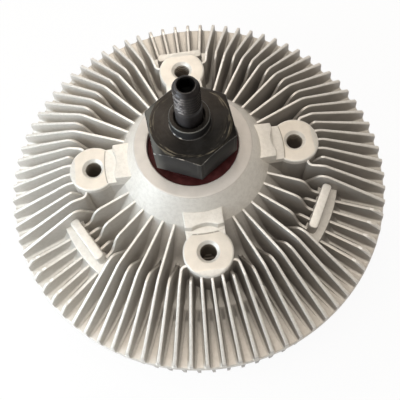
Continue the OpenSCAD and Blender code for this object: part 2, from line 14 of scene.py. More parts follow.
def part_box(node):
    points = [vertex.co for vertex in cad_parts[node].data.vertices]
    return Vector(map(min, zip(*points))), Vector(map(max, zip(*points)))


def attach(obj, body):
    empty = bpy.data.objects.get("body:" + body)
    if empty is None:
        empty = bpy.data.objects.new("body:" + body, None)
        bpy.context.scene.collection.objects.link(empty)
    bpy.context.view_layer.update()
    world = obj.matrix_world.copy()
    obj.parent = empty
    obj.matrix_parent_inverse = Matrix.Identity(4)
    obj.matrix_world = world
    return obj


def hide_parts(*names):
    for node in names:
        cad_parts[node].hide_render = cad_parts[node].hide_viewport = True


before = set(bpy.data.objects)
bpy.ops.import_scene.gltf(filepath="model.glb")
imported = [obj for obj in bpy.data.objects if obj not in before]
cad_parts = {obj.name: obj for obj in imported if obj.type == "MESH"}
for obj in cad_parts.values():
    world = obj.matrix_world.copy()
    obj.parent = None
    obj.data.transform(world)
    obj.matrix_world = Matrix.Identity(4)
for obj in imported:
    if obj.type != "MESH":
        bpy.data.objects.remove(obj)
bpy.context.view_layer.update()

bl_info = {
    "name": "Viscous fan clutch",
    "version": (1, 0, 0),
    "blender": (4, 5, 0),
    "location": "View3D > Sidebar > Fan clutch",
    "description": "Builds the looks of a viscous fan clutch over its solids",
    "category": "Object",
}

# Fins around each casting, and the degrees from one to the next
FIN_COUNT = 80
FIN_PITCH = 360 / FIN_COUNT
# Bosses start on the X axis, pads on the Y axis; the fins within a pad's spread, in degrees, are low
BOSS_COUNT = 4
PAD_COUNT, PAD_START, PAD_SPREAD = 3, 90, 11.3


def length(name, description, default):
    """A length in metres that a user may change."""
    return bpy.props.FloatProperty(name=name, description=description, default=default, unit="LENGTH",
                                   precision=5)


def number(name, description, default):
    """A plain number that a user may change."""
    return bpy.props.FloatProperty(name=name, description=description, default=default)


def colour(name, description, default):
    """A linear colour that a user may change."""
    return bpy.props.FloatVectorProperty(name=name, description=description, default=default, subtype="COLOR",
                                         size=3, min=0, max=1)


class CastingSizes(bpy.types.PropertyGroup):
    """Sizes of the two aluminium castings."""
    rim_r: length("Rim radius", "Outer radius of the finned rim", 0.08497)
    rim_z: length("Rim floor", "Height of the floor at the rim", 0.038)
    floor_z: length("Inner floor", "Height of the floor inside the rim", 0.0419)
    boss_z: length("Boss face", "Height of the turned boss faces", 0.0624)
    hub_z: length("Hub face", "Height of the turned hub face", 0.0725)
    hub_r: length("Hub face radius", "Outer radius of the turned hub face", 0.024)
    lip_r: length("Hub opening", "Radius of the opening in the hub", 0.0187)
    fin_t: length("Fin thickness", "Thickness of a fin at its highest crest", 0.00115)
    fin_bend: length("Fin bend", "Radius where the crests bend down", 0.055)
    fin_round: length("Fin edge", "Radius of the rounded fin edges", 0.00035)
    root_round: length("Fin root", "Radius of the fillet at the foot of a fin", 0.0012)
    boss_pcr: length("Bolt circle", "Radius of the fan bolt circle", 0.043)
    boss_r: length("Boss radius", "Radius of a boss at its face", 0.01015)
    boss_slope: length("Boss slope", "Radius from the shaft where a boss face begins to slope", 0.0505)
    hole_r: length("Bolt hole", "Radius of a tapped fan hole", 0.0034)
    web_w: length("Web width", "Width of the web behind a boss", 0.0157)
    side_lip: length("Side lips", "Radius of the low lips on the webs along X", 0.0378)
    end_lip: length("End lips", "Radius of the low lips on the webs along Y", 0.0354)
    pad_r: length("Pad radius", "Radius of the balance pads", 0.0564)
    cover_r: length("Cover bore", "Radius of the bore that takes the front cover", 0.081)
    cover_z: length("Cover seat", "Height of the face on which the front cover sits", 0.032)
    flange_z: length("Cover flange", "Height of the lower face of the front cover's flange", 0.027)
    chamber_r: length("Chamber", "Radius of the fluid chamber", 0.0615)
    bearing_z: length("Bearing foot", "Height of the bearing's lower face", 0.0583)
    bearing_top: length("Bearing top", "Height of the bearing's upper face", 0.0703)


class ShaftSizes(bpy.types.PropertyGroup):
    """Sizes of the input shaft and its stud."""
    hex_af: length("Hexagon", "Width of the hexagon across its flats", 0.032)
    hex_z: length("Hexagon foot", "Height of the hexagon's lower face", 0.0761)
    hex_top: length("Hexagon top", "Height of the hexagon's upper face", 0.0896)
    collar_r: length("Collar", "Radius of the collar above the hexagon", 0.00775)
    collar_z: length("Collar top", "Height of the collar's rim", 0.0944)
    recess_r: length("Recess", "Radius of the recess in the collar", 0.0058)
    shoulder_r: length("Shoulder", "Radius of the shoulder above the bearing", 0.0111)
    journal_r: length("Journal", "Radius of the journal in the bearing", 0.0085)
    shank_r: length("Shank", "Radius of the stud's plain shank", 0.0051)
    stud_r: length("Thread", "Outer radius of the stud's thread", 0.0049)
    stud_z: length("Stud foot", "Height of the stud's lower end", 0.0729)
    stud_top: length("Stud tip", "Height of the stud's tip", 0.1136)
    thread_z: length("Thread start", "Height where the thread begins", 0.1024)
    pitch: length("Thread pitch", "Rise of the thread in one turn", 0.0015)


class FinishColours(bpy.types.PropertyGroup):
    """Colours of the finishes."""
    cast: colour("Cast aluminium", "Blasted skin of the castings", (0.77, 0.74, 0.69))
    # Fin crests: painted highlight, the brighter tone laid on the rounded crests where they catch the light
    crest: colour("Fin crests", "Brighter skin on the crests of the fins", (0.90, 0.875, 0.835))
    # Fin gaps: painted shade, the dark tone the skin turns to on the fin sides and deep between the fins
    gap: colour("Fin gaps", "Darker skin deep between the fins", (0.20, 0.18, 0.165))
    # Rim floor: painted light, an even tone for the up-facing floor between the fin ends in place of the painted
    # gap shade
    rim: colour("Rim floor", "Skin of the floor between the ends of the fins", (0.66, 0.62, 0.57))
    mottle: colour("Mottle", "Specks in the cast skin", (0.36, 0.33, 0.29))
    turned: colour("Turned aluminium", "Machined faces of the bosses", (0.80, 0.74, 0.66))
    # Corner line: painted shade, a thin dark line in the corners at the foot of the webs' lips
    shade: colour("Corner dirt", "Dirt in the corners at the webs' lips", (0.12, 0.10, 0.08))
    hub: colour("Hub face", "Machined face of the hub", (0.65, 0.61, 0.57))
    # Bolt hole: painted shade, the dark wall down in a tapped hole
    hole: colour("Bolt hole", "Oily wall of a tapped hole", (0.20, 0.17, 0.14))
    # Bolt hole thread: painted light on the upper turns, near the mouth of the hole
    turns: colour("Bolt hole thread", "Upper turns of the thread in a tapped hole", (0.85, 0.77, 0.66))
    oxide: colour("Black oxide", "Turned faces of the shaft", (0.009, 0.008, 0.007))
    milled: colour("Milled oxide", "Milled flats of the hexagon", (0.042, 0.041, 0.041))
    phosphate: colour("Phosphate", "Skin of the stud", (0.013, 0.011, 0.011))
    # Rubbed stud: painted light, the lighter grey of the stud's side towards the key light
    shank: colour("Rubbed stud", "Side of the stud that is rubbed grey", (0.11, 0.104, 0.106))
    # Thread: painted glints on the thread's flanks on the lit side
    thread: colour("Thread", "Rubbed flanks of the thread", (0.50, 0.47, 0.46))
    # Bare steel: worn edges, laid on more at the left and front as a painted highlight
    bare: colour("Bare steel", "Steel showing through worn edges", (0.36, 0.34, 0.31))
    # Rubbed edge: the rubbed rim of the collar, and painted light on the hexagon's left side
    rubbed: colour("Rubbed edge", "Rubbed rim of the collar and side of the hexagon", (0.15, 0.15, 0.14))
    # Dust: brown dust on the hexagon's face, laid on towards the back left so that it also paints the light
    # falling there
    dust: colour("Dust", "Brown dust on the face of the hexagon", (0.046, 0.038, 0.032))
    scuff: colour("Scuffs", "Scuffs on the face of the hexagon", (0.20, 0.175, 0.13))
    seal: colour("Seal", "Rubber of the bearing seal", (0.05, 0.006, 0.006))


class StageValues(bpy.types.PropertyGroup):
    """Camera, light and floor."""
    lens: number("Lens", "Focal length of the camera in millimetres", 48.27)
    key: number("Key light", "Power of the cool light close by at the left, in watts", 0.92)
    top: number("Top light", "Power of the warm light from above, in watts", 5.2)
    back: number("Back light", "Power of the warm light from behind, in watts", 2.3)
    fill: number("Fill light", "Power of the warm light from the right, in watts", 0.4)
    ambient: number("Ambient", "Strength of the even light around the object", 0.14)
    floor: colour("Floor", "Colour of the floor", (0.86, 0.86, 0.86))


class Val:
    """A socket of a material's nodes, with arithmetic that adds Math nodes."""

    def __init__(self, tree, socket):
        self.tree, self.socket = tree, socket

    def node(self, kind, settings=None, inputs=None, output=0):
        """Adds a node, sets its settings, then its sockets' values or links."""
        made = self.tree.nodes.new(kind)
        for key, value in (settings or {}).items():
            setattr(made, key, value)
        for key, value in (inputs or {}).items():
            if isinstance(value, Val):
                self.tree.links.new(value.socket, made.inputs[key])
            else:
                made.inputs[key].default_value = value
        return Val(self.tree, made.outputs[output])

    def math(self, operation, *values):
        return self.node("ShaderNodeMath", {"operation": operation}, dict(enumerate(values)))

    def __add__(self, other):
        return self.math("ADD", self, other)

    def __sub__(self, other):
        return self.math("SUBTRACT", self, other)

    def __rsub__(self, other):
        return self.math("SUBTRACT", other, self)

    def __mul__(self, other):
        return self.math("MULTIPLY", self, other)

    def __abs__(self):
        return self.math("ABSOLUTE", self)

    __radd__ = __add__
    __rmul__ = __mul__

    def sine(self):
        return self.math("SINE", self)

    def at_least(self, low):
        return self.math("MAXIMUM", self, low)

    def at_most(self, high):
        return self.math("MINIMUM", self, high)

    def step(self, low, high, to_low=0.0, to_high=1.0):
        """Smooth change from to_low at low to to_high at high."""
        return self.node("ShaderNodeMapRange", {"interpolation_type": "SMOOTHSTEP"},
                         {0: self, 1: low, 2: high, 3: to_low, 4: to_high})

    def tint(self, first, second):
        """Colour between first, where the value is 0, and second, where it is 1."""
        return self.node("ShaderNodeMix", {"data_type": "RGBA"}, {0: self, 6: rgba(first), 7: rgba(second)}, 2)

    def noise(self, scale, detail=2.0, rough=0.5):
        """Noise over a vector, from 0 to 1."""
        return self.node("ShaderNodeTexNoise", {"noise_dimensions": "3D"},
                         {"Vector": self, "Scale": scale, "Detail": detail, "Roughness": rough})

    def bump(self, strength, distance):
        """Normal raised by the value."""
        return self.node("ShaderNodeBump", {}, {"Height": self, "Strength": strength, "Distance": distance})


def rgba(tint):
    """A colour with full alpha; a socket stays as it is."""
    return tint if isinstance(tint, Val) else (*tint[:3], 1.0)


def scaled(tint, share):
    """A colour made lighter or darker."""
    return [part * share for part in tint]


class Finish:
    """A material whose nodes read Object coordinates."""

    def __init__(self, name):
        self.material = bpy.data.materials.new(name)
        self.material.use_nodes = True
        self.tree = self.material.node_tree
        self.shader = self.tree.nodes["Principled BSDF"]
        source = self.tree.nodes.new("ShaderNodeTexCoord").outputs
        self.place = Val(self.tree, source["Object"])
        self.x, self.y, self.z = self.axes(self.place)
        self.r = self.x.math("SQRT", self.x * self.x + self.y * self.y)
        self.up = self.axes(Val(self.tree, source["Normal"]))[2]

    def axes(self, vector):
        """The three parts of a vector."""
        split = vector.node("ShaderNodeSeparateXYZ", {}, {0: vector}).socket.node
        return [Val(self.tree, part) for part in split.outputs]

    def set(self, **values):
        """Sets the shader's sockets, by value or by link."""
        for key, value in values.items():
            socket = self.shader.inputs[key.replace("_", " ")]
            if isinstance(value, Val):
                self.tree.links.new(value.socket, socket)
            else:
                socket.default_value = value
        return self.material


def blasted_aluminium(name, tints, rear=True):
    """Die-cast aluminium skin after bead blasting, with painted highlights on the crests and painted shade on the
    fin sides and deep in the gaps.
    """
    cast = Finish(name)
    if rear:
        crest_z, bend, fall = 0.0604, 0.055, 0.6
        below = crest_z - (cast.r - bend).at_least(0.0) * fall - cast.z
    else:
        bend, fall = 0.073, 0.75
        below = cast.z - (cast.r - bend).at_least(0.0) * fall
    # Painted shade: steep walls just below the crest line, and faces deep below it, turn towards the gap colour;
    # little of it on the rim's outer wall
    steep = abs(cast.up).step(cast.r.step(0.040, 0.044, 0.25, 0.47), 0.92, 1.0, 0.0)
    side = steep * below.step(-0.0001, 0.0006) * cast.r.step(0.0840, 0.0848, 1.0, 0.2)
    cloud = cast.place.noise(90, 4, 0.6)
    mottle = cast.place.noise(650, 3, 0.7)
    grain = cast.place.noise(2600, 3, 0.7)
    painted_shade = (side * 0.68 + below.step(0.004, 0.019) * 0.36) * (cloud * 0.6 + 0.7)
    # Painted light: the painted shade is cut to about a third towards the left, where the key light falls into the
    # gaps
    painted_shade = painted_shade * cast.x.step(-0.060, 0.025, 0.34, 1.0)
    tone = painted_shade.at_most(1.0).tint(tints.cast, tints.gap)
    if rear:
        # Painted light: up-facing floor near the rim takes the even rim floor tone instead of the painted gap
        # shade
        tone = (cast.r.step(0.066, 0.078) * cast.up.step(0.8, 0.98)).tint(tone, tints.rim)
        # Painted highlight: up-facing faces along the crest line are tinted towards the brighter crest colour
        crest = below.step(-0.0008, -0.0004) * below.step(0.0002, 0.0006, 1.0, 0.0)
        tone = (crest * cast.up.step(0.7, 0.95)).tint(tone, tints.crest)
    tone = (mottle.step(0.38, 0.66) * 0.16).tint(tone, tints.mottle)
    skin = (grain * 0.5 + mottle * 0.5).bump(0.35, 0.00016)
    return cast.set(Base_Color=tone, Metallic=0.3, Roughness=grain * 0.14 + 0.42, Normal=skin)


def turned_aluminium(name, tint, shade=None):
    """Machined aluminium with fine concentric tool marks, and a painted shade line in the corners at the webs'
    lips.
    """
    face = Finish(name)
    marks = (face.r * 9000.0).sine()
    wander = face.place.noise(160, 3, 0.6)
    fine = face.place.noise(3000, 2, 0.6)
    tone = wander.step(0.3, 0.75).tint(tint, scaled(tint, 0.9))
    if shade is not None:
        # Painted shade: a thin dark line where the boss face meets the low lip of the web, further out on the webs
        # along X
        corner_r, further_out = 0.0356, 0.0024
        sideways = (abs(face.x) - abs(face.y)).step(-0.001, 0.001)
        off = abs(face.r - corner_r - sideways * further_out)
        tone = off.step(0.0001, 0.0004, 0.62, 0.0).tint(tone, shade)
    skin = (marks * 0.35 + fine * 0.8).bump(0.18, 0.00006)
    return face.set(Base_Color=tone, Metallic=0.25, Roughness=wander * 0.14 + 0.40, Normal=skin)


def tapped_hole(tints):
    """Wall of a tapped hole, dark as painted shade down the hole, with painted light on the upper turns of its
    thread near the mouth.
    """
    wall = Finish("tapped_hole")
    pitch = 0.00125
    turns = (wall.z * (tau / pitch)).sine()
    # Painted light: the ridges of the turns grow lighter towards the mouth of the hole
    light = turns.step(-0.3, 0.9) * wall.z.step(0.0555, 0.0612)
    return wall.set(Base_Color=light.tint(tints.hole, tints.turns), Metallic=0.4, Roughness=turns * 0.06 + 0.42,
                    Normal=turns.bump(0.6, 0.0003))


def black_oxide(tints):
    """Black-oxide steel with clouded tones, a top face lighter and browner towards the back left as dust and
    painted light, painted light on the hexagon's left side, painted shade on its right flats, and broken scuffs
    around the shaft.
    """
    steel = Finish("black_oxide_steel")
    cloud = steel.place.noise(140, 4, 0.65)
    fine = steel.place.noise(2600, 2, 0.6)
    turn = steel.x.math("ARCTAN2", steel.y, steel.x)
    around = steel.place.node("ShaderNodeCombineXYZ", {}, {0: steel.r * 900.0, 1: turn * 1.6, 2: steel.z * 40.0})
    scuff = around.noise(1.0, 3, 0.7).step(0.50, 0.68)
    scuff_r = 0.0148
    band = abs(steel.r - scuff_r).step(0.0002, 0.0016, 1.0, 0.06)
    band = band * steel.up.step(0.6, 0.95) * steel.z.step(0.080, 0.086)
    # Painted shade: the milled flats darken towards the right, away from the key light
    flats = steel.x.step(-0.002, 0.008).tint(tints.milled, scaled(tints.milled, 0.35))
    # Dust and painted light: the top face turns lighter brown towards the back left, where the lamps fall
    dust_and_light = (steel.y * 0.8 - steel.x * 0.3).step(-0.008, 0.004) * cloud.step(0.25, 0.7, 0.5, 1.0)
    tone = steel.up.step(0.3, 0.8).tint(flats, dust_and_light.tint(tints.oxide, tints.dust))
    tone = (cloud.step(0.35, 0.75) * 0.3).tint(tone, tints.milled)
    # Painted light: faces on the hexagon's left that do not face up, where the key light falls, turn towards the
    # rubbed colour
    left = steel.x.step(-0.0150, -0.0110, 1.0, 0.0) * steel.up.step(0.93, 0.98, 1.0, 0.0)
    tone = (left * 0.8).tint(tone, tints.rubbed)
    tone = (scuff * band * 0.8).tint(tone, tints.scuff)
    skin = (cloud * 0.4 + fine * 0.6).bump(0.2, 0.00008)
    return steel.set(Base_Color=tone, Metallic=0.25, Roughness=cloud * 0.2 + 0.36, Specular_IOR_Level=0.15,
                     Normal=skin)


def phosphate(tints, tip):
    """Dull phosphate coat of the stud, with painted light on its left side and painted glints on the flanks of its
    thread there.
    """
    coat = Finish("phosphated_steel")
    cloud = coat.place.noise(260, 4, 0.65)
    fine = coat.place.noise(2600, 2, 0.6)
    tone = cloud.step(0.3, 0.8).tint(tints.phosphate, scaled(tints.phosphate, 1.5))
    across = coat.x + coat.y * 0.3
    # Painted light: the stud's left side, towards the key light, turns lighter grey and metallic
    side = across.step(-0.0048, -0.0012, 1.0, 0.0) * cloud.step(0.2, 0.7, 0.6, 1.0)
    # Painted highlight: glints on the upward flanks of the thread at the left, below the tip
    flank = coat.up.step(0.35, 0.75) * coat.z.step(tip - 0.0018, tip - 0.0012, 1.0, 0.0)
    flank = flank * across.step(-0.0042, -0.0018, 1.0, 0.0)
    tone = side.tint(tone, tints.shank)
    tone = (side * flank * coat.place.noise(600, 2, 0.6).step(0.38, 0.60)).tint(tone, tints.thread)
    skin = (cloud * 0.4 + fine * 0.6).bump(0.2, 0.00008)
    return coat.set(Base_Color=tone, Metallic=side * 0.6, Roughness=cloud * 0.2 + 0.28, Specular_IOR_Level=0.25,
                    Normal=skin)


def worn_and_lit_edge(tints):
    """Edges of the black-oxide parts, worn to bare steel in places, with more of it towards the left and front as
    a painted highlight where the key light falls.
    """
    edge = Finish("worn_and_lit_steel_edge")
    # Painted highlight: the bare-steel rub is strongest towards the left and front
    left = (edge.x + edge.y * 0.4).step(-0.012, 0.006, 1.0, 0.25)
    rub = edge.place.noise(420, 3, 0.65).step(0.46, 0.68) * left
    return edge.set(Base_Color=rub.tint(tints.milled, tints.bare), Metallic=0.6, Roughness=rub * -0.08 + 0.36,
                    Normal=edge.place.noise(2600, 2, 0.6).bump(0.1, 0.00005))


def rubber(name, tint):
    """Moulded rubber with a dull bloom."""
    soft = Finish(name)
    bloom = soft.place.noise(300, 3, 0.6)
    fine = soft.place.noise(2200, 2, 0.6)
    tone = bloom.step(0.35, 0.8).tint(tint, [part * 1.7 + 0.01 for part in tint])
    return soft.set(Base_Color=tone, Roughness=bloom * 0.2 + 0.5, Specular_IOR_Level=0.25,
                    Normal=fine.bump(0.2, 0.00005))


def metal(name, tint, low_rough, metallic=0.85, marks=0.0, shine=0.5):
    """Ground, rolled or plated metal; marks adds turning marks around the shaft."""
    sheet = Finish(name)
    cloud = sheet.place.noise(220, 4, 0.6)
    fine = sheet.place.noise(2400, 2, 0.6)
    tone = cloud.step(0.3, 0.8).tint(tint, scaled(tint, 0.78))
    height = fine * 0.6 + (sheet.r * 7000.0).sine() * marks
    return sheet.set(Base_Color=tone, Metallic=metallic, Roughness=cloud * 0.2 + low_rough,
                     Specular_IOR_Level=shine, Normal=height.bump(0.15, 0.00005))


def moulded_plastic(name, tint, second):
    """Plain moulded plastic with a fine grain of two tones."""
    plain = Finish(name)
    grain = plain.place.noise(1500, 2, 0.6)
    return plain.set(Base_Color=grain.tint(tint, second), Roughness=grain * 0.1 + 0.42,
                     Normal=grain.bump(0.1, 0.00004))


def rounded(path, n=4, closed=True):
    """Outline through points (x, z, radius), with an arc of n parts at each rounded corner."""
    made = []
    count = len(path)
    for i, (x, z, radius) in enumerate(path):
        here = Vector((x, z))
        if radius <= 0 or (not closed and i in (0, count - 1)):
            made.append(here)
            continue
        u = (Vector(path[i - 1][:2]) - here).normalized()
        v = (Vector(path[(i + 1) % count][:2]) - here).normalized()
        half = acos(max(-1, min(1, u.dot(v)))) / 2
        mid = here + (u + v).normalized() * radius / sin(half)
        first = here + u * radius / tan(half) - mid
        last = here + v * radius / tan(half) - mid
        start = atan2(first.y, first.x)
        sweep = atan2(first.x * last.y - first.y * last.x, first.dot(last))
        made += [mid + radius * Vector((cos(start + sweep * k / n), sin(start + sweep * k / n)))
                 for k in range(n + 1)]
    return made


def turned(bm, outline, steps, centre=(0, 0, 0), closed=True):
    """Spins an outline of (radius, height) points once around an upright axis."""
    x0, y0, z0 = centre
    verts = [bm.verts.new((x0 + r, y0, z0 + z)) for r, z in outline]
    pairs = list(zip(verts, verts[1:])) + ([(verts[-1], verts[0])] if closed else [])
    edges = [bm.edges.new(pair) for pair in pairs]
    bmesh.ops.spin(bm, geom=verts + edges, cent=centre, axis=(0, 0, 1), angle=tau, steps=steps, use_merge=True)


def raised(bm, outline, low, high):
    """Upright prism over an outline of (x, y) points."""
    base = bm.faces.new([bm.verts.new((x, y, low)) for x, y in outline])
    made = bmesh.ops.extrude_face_region(bm, geom=[base])["geom"]
    top = [item for item in made if isinstance(item, bmesh.types.BMVert)]
    bmesh.ops.translate(bm, verts=top, vec=(0, 0, high - low))


def soften(bm, edges, offset):
    """Rounds edges and gives the faces made."""
    return bmesh.ops.bevel(bm, geom=edges, offset=offset, offset_type="OFFSET", segments=3, profile=0.5,
                           affect="EDGES", clamp_overlap=True, material=-1)["faces"]


def sharp_edges(bm, degrees, where):
    """Edges in a place whose faces meet at more than an angle."""
    return [edge for edge in bm.edges if edge.calc_face_angle(0) > radians(degrees) and where(edge)]


def lowest(edge):
    """Height of the lower end of an edge."""
    return min(vert.co.z for vert in edge.verts)


def everything(bm):
    """All geometry of a mesh, for a cut through it."""
    return bm.verts[:] + bm.edges[:] + bm.faces[:]


def turn_about_shaft(degrees):
    """Rotation about the shaft."""
    return Matrix.Rotation(radians(degrees), 4, "Z")


def pull_to_hexagon(vert, flat):
    """Moves a vertex along its radius to a hexagon around the shaft, and gives its new radius."""
    r = hypot(vert.co.x, vert.co.y)
    reach = flat / cos(atan2(vert.co.y, vert.co.x) % (pi / 3) - pi / 6)
    vert.co.x *= reach / r
    vert.co.y *= reach / r
    return reach


def add_turned_copies(bm, part, angles):
    """Adds a part at each of several angles around the shaft."""
    mesh = bpy.data.meshes.new("part")
    part.to_mesh(mesh)
    part.free()
    last = 0
    for angle in angles:
        mesh.transform(turn_about_shaft(angle - last))
        bm.from_mesh(mesh)
        last = angle
    bpy.data.meshes.remove(mesh)


def finished(bm, name, materials, body, nodes, crease=38):
    """Closes a piece: merges doubles, sets normals and shading, and puts it in the frame."""
    bmesh.ops.remove_doubles(bm, verts=bm.verts, dist=1e-6)
    bmesh.ops.dissolve_degenerate(bm, edges=bm.edges, dist=1e-7)
    bmesh.ops.recalc_face_normals(bm, faces=bm.faces)
    for face in bm.faces:
        face.smooth = True
    for edge in bm.edges:
        edge.smooth = edge.calc_face_angle(0) < radians(crease)
    mesh = bpy.data.meshes.new(name)
    bm.to_mesh(mesh)
    bm.free()
    if not mesh.polygons:
        raise RuntimeError(name + " has no faces")
    piece = bpy.data.objects.new(name, mesh)
    bpy.context.scene.collection.objects.link(piece)
    for material in materials:
        mesh.materials.append(material)
    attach(piece, body)
    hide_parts(*nodes)


def height_at(chain, r):
    """Height of a chain of (radius, height) points at a radius."""
    for (r0, z0), (r1, z1) in zip(chain, chain[1:]):
        if r0 <= r <= r1 and r1 > r0:
            return z0 + (z1 - z0) * (r - r0) / (r1 - r0)
    return chain[-1][1] if r > chain[-1][0] else chain[0][1]


def fin_section(crest, ground, high, size):
    """Section across a fin, from its left foot over the crest to its right foot."""
    rise = max(crest - ground, 0.0002)
    edge = min(size.fin_round, 0.4 * rise)
    root = min(size.root_round, 0.5 * rise)
    sunk, draft = 0.0006, tan(radians(0.5))

    def wide(z):
        return size.fin_t / 2 + (high - z) * draft

    side = [(wide(ground) + root, ground - sunk)]
    side += [(wide(ground + root) + root * (1 - cos(a)), ground + root * (1 - sin(a)))
             for a in (radians(90), radians(55), radians(25), 0)]
    side += [(wide(crest - edge) - edge * (1 - cos(a)), crest - edge + edge * sin(a))
             for a in (0, radians(35), radians(65), radians(90))]
    return [(-y, z) for y, z in side] + [(y, z) for y, z in reversed(side)]


def fin_shell(chain, ground, high, size):
    """A fin: its section is carried along the line of its crest, in short steps beside the hub."""
    hub_end, step = 0.046, 0.0012
    bm = bmesh.new()
    verts = []
    line = [chain[0]]
    for a, b in zip(chain, chain[1:]):
        parts = max(1, round((min(b[0], hub_end) - a[0]) / step))
        line += [a.lerp(b, (k + 1) / parts) for k in range(parts)] if parts > 1 else [b]
    for r, crest in line:
        section = fin_section(crest, ground(r, crest), high, size)
        if not verts:
            verts = [bm.verts.new((r, y, z)) for y, z in section]
            loop = [bm.edges.new(pair) for pair in zip(verts, verts[1:] + verts[:1])]
            bm.faces.new(verts)
            continue
        made = {item for item in bmesh.ops.extrude_edge_only(bm, edges=loop)["geom"]
                if isinstance(item, bmesh.types.BMVert)}
        verts = [next(edge.other_vert(v) for edge in v.link_edges if edge.other_vert(v) in made) for v in verts]
        loop = [bm.edges.get(pair) for pair in zip(verts, verts[1:] + verts[:1])]
        for vert, (y, z) in zip(verts, section):
            vert.co = (r, y, z)
    bm.faces.new(verts)
    return bm


def nearest(angle, count, first):
    """Angle to the nearest of several equal directions."""
    turn = (angle - first) % (360 / count)
    return min(turn, 360 / count - turn)


class CLUTCH_OT_rear_casting(bpy.types.Operator):
    """Finned rear housing with hub, fan bosses and balance pads"""
    bl_idname = "clutch.rear_casting"
    bl_label = "Rear casting"

    def execute(self, context):
        size = context.scene.clutch_casting
        tints = context.scene.clutch_finishes
        bm = bmesh.new()
        wall = self.wall(size)
        turned(bm, wall, 240)
        ground = [p for p in wall if p.x >= size.hub_r - 0.001 and p.y >= size.rim_z - 1e-6]
        self.fins(bm, size, lambda r, crest: min(height_at(ground, r), size.hub_z))
        for lip, angles in ((size.side_lip, [0, 180]), (size.end_lip, [90, 270])):
            boss = bmesh.new()
            self.boss(boss, size, lip)
            add_turned_copies(bm, boss, angles)
        for i in range(PAD_COUNT):
            pad = bmesh.new()
            self.pad(pad, size, PAD_START + 360 / PAD_COUNT * i)
            add_turned_copies(bm, pad, [0])
        self.mark_machined_faces(bm, size)
        materials = [blasted_aluminium("blasted_rear", tints),
                     turned_aluminium("turned_boss_faces", tints.turned, tints.shade),
                     turned_aluminium("turned_hub_face", tints.hub), tapped_hole(tints)]
        finished(bm, "rear_casting", materials, "housing", ["rear_housing"])
        return {"FINISHED"}

    def mark_machined_faces(self, bm, size):
        """Gives boss faces, hub face and tapped holes their own finishes."""
        cast, boss_face, hub_face, hole = range(4)
        centres = [(size.boss_pcr * x, size.boss_pcr * y) for x, y in ((1, 0), (0, 1), (-1, 0), (0, -1))]
        for face in bm.faces:
            mid = face.calc_center_median()
            r = hypot(mid.x, mid.y)
            off = min(hypot(mid.x - x, mid.y - y) for x, y in centres)
            kind = cast
            if face.normal.z > 0.995 and abs(mid.z - size.boss_z) < 5e-5:
                if size.end_lip < r < size.boss_slope + 0.0003:
                    kind = boss_face
            if face.normal.z > 0.6 and mid.z > size.hub_z - 0.0005 and r < size.hub_r + 0.0002:
                kind = hub_face
            if off < size.hole_r + 0.0001 and -0.0185 < mid.z - size.boss_z < -0.0011:
                kind = hole
            face.material_index = kind

    def wall(self, size):
        """Turned outline of hub, floor, rim and the hollow inside."""
        foot = size.hub_r + (size.hub_z - size.floor_z) / tan(radians(59.5))
        floor_end, rim_start = 0.0615, 0.066
        skirt_r, crimp_r, chamber_z = 0.083, 0.079, 0.0374
        rim_low, skirt_top, skirt_low = 0.033, 0.031, 0.0254
        seat_r, groove_r, groove_z = 0.02, 0.021, size.bearing_z - 0.0016
        return rounded([
            (size.lip_r, size.bearing_top, 0), (size.lip_r, size.hub_z, 0.0005), (size.hub_r, size.hub_z, 0.0009),
            (foot, size.floor_z + 0.0014, 0.009), (floor_end, size.floor_z, 0.003),
            (rim_start, size.rim_z, 0.003), (size.rim_r, size.rim_z, 0.0008), (size.rim_r, rim_low, 0.0005),
            (skirt_r, skirt_top, 0.0005), (skirt_r, skirt_low, 0.0006),
            (crimp_r, skirt_low, 0.0004), (crimp_r, size.flange_z, 0), (size.cover_r, size.flange_z, 0),
            (size.cover_r, size.cover_z, 0), (size.chamber_r, size.cover_z, 0),
            (size.chamber_r, chamber_z, 0), (seat_r, chamber_z, 0),
            (seat_r, groove_z, 0), (groove_r, groove_z, 0), (groove_r, size.bearing_z, 0),
            (seat_r, size.bearing_z, 0), (seat_r, size.bearing_top, 0)], 6)

    def fin_paths(self, size, crest):
        """Crest lines (radius, height, rounding) of every kind of fin."""
        bend = size.fin_bend
        tip_r, tip_z = size.rim_r - 0.0008, size.rim_z + 0.0054
        edge_r = size.rim_r - 0.0002
        low_z, stub_z, inner = 0.0466, 0.052, 0.0296
        slope = tan(radians(61))
        rim_end = [(tip_r, tip_z, 0.0012), (edge_r, size.rim_z + 0.001, 0), (edge_r, size.rim_z - 0.0005, 0)]
        low_rim = [(tip_r - 0.003, low_z, 0.004), (tip_r, tip_z - 0.0006, 0.0006), *rim_end[1:]]
        under = [(size.pad_r - 0.001, stub_z - 0.0004, 0), (size.pad_r + 0.001, low_z, 0)]
        ramp = bend - (crest - size.floor_z) / slope - 0.0022
        stub = bend - 0.0052
        return {
            "long": [(inner, crest, 0), (bend, crest, 0.009), *rim_end],
            "short": [(ramp, size.floor_z, 0), (bend - 0.0011, crest + 0.0003, 0.004), *rim_end],
            "behind": [(size.boss_pcr + 0.0065, crest, 0), (bend, crest, 0.009), *rim_end],
            "beside": [(bend - 0.0058, crest - 0.0061, 0), (bend - 0.0010, crest + 0.0002, 0.0015), *rim_end],
            "hook": [(0.0458 + 0.0007 * k, crest, 0) for k in range(8)] + [(bend, crest, 0.003), *rim_end],
            "swan": [(inner, crest, 0), (bend - 0.0076, crest - 0.0006, 0.005), (bend - 0.0034, stub_z, 0.0034),
                     *under, *low_rim],
            "stub": [(stub - (stub_z - size.floor_z) / slope, size.floor_z, 0), (stub, stub_z, 0.002), *under,
                     *low_rim],
            "low": [(size.pad_r + 0.001, low_z, 0), *low_rim],
        }

